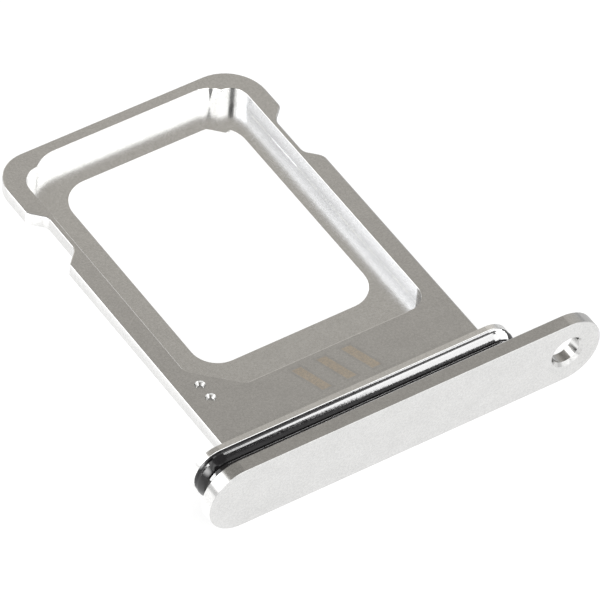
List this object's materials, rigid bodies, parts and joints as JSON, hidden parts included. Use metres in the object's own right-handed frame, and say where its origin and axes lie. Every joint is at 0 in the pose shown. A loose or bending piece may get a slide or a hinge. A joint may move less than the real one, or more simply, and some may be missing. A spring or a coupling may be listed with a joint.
{
  "type": "sim card tray",
  "caption": "Slim metal card tray with a rimmed pocket, open window, side notches, round-ended cap with eject hole and rubber seal.",
  "frame": {"origin": "middle of the underside of the whole tray, in the plane of the cap's lowest line", "axes": "+Y from the end cap towards the plate's far end, +Z out of the plate's top face, where the card goes in, +X towards the cap's longer end with the eject hole"},
  "size_m": [0.0158, 0.0166, 0.0027],
  "materials": {
    "tray_body": "satin machined steel, pocket walls polished by the cutter",
    "seal_ring": "glossy black silicone"
  },
  "bodies": {
    "root": {"tray_body": "tray_body", "seal_ring": "seal_ring"}
  },
  "joints": []
}
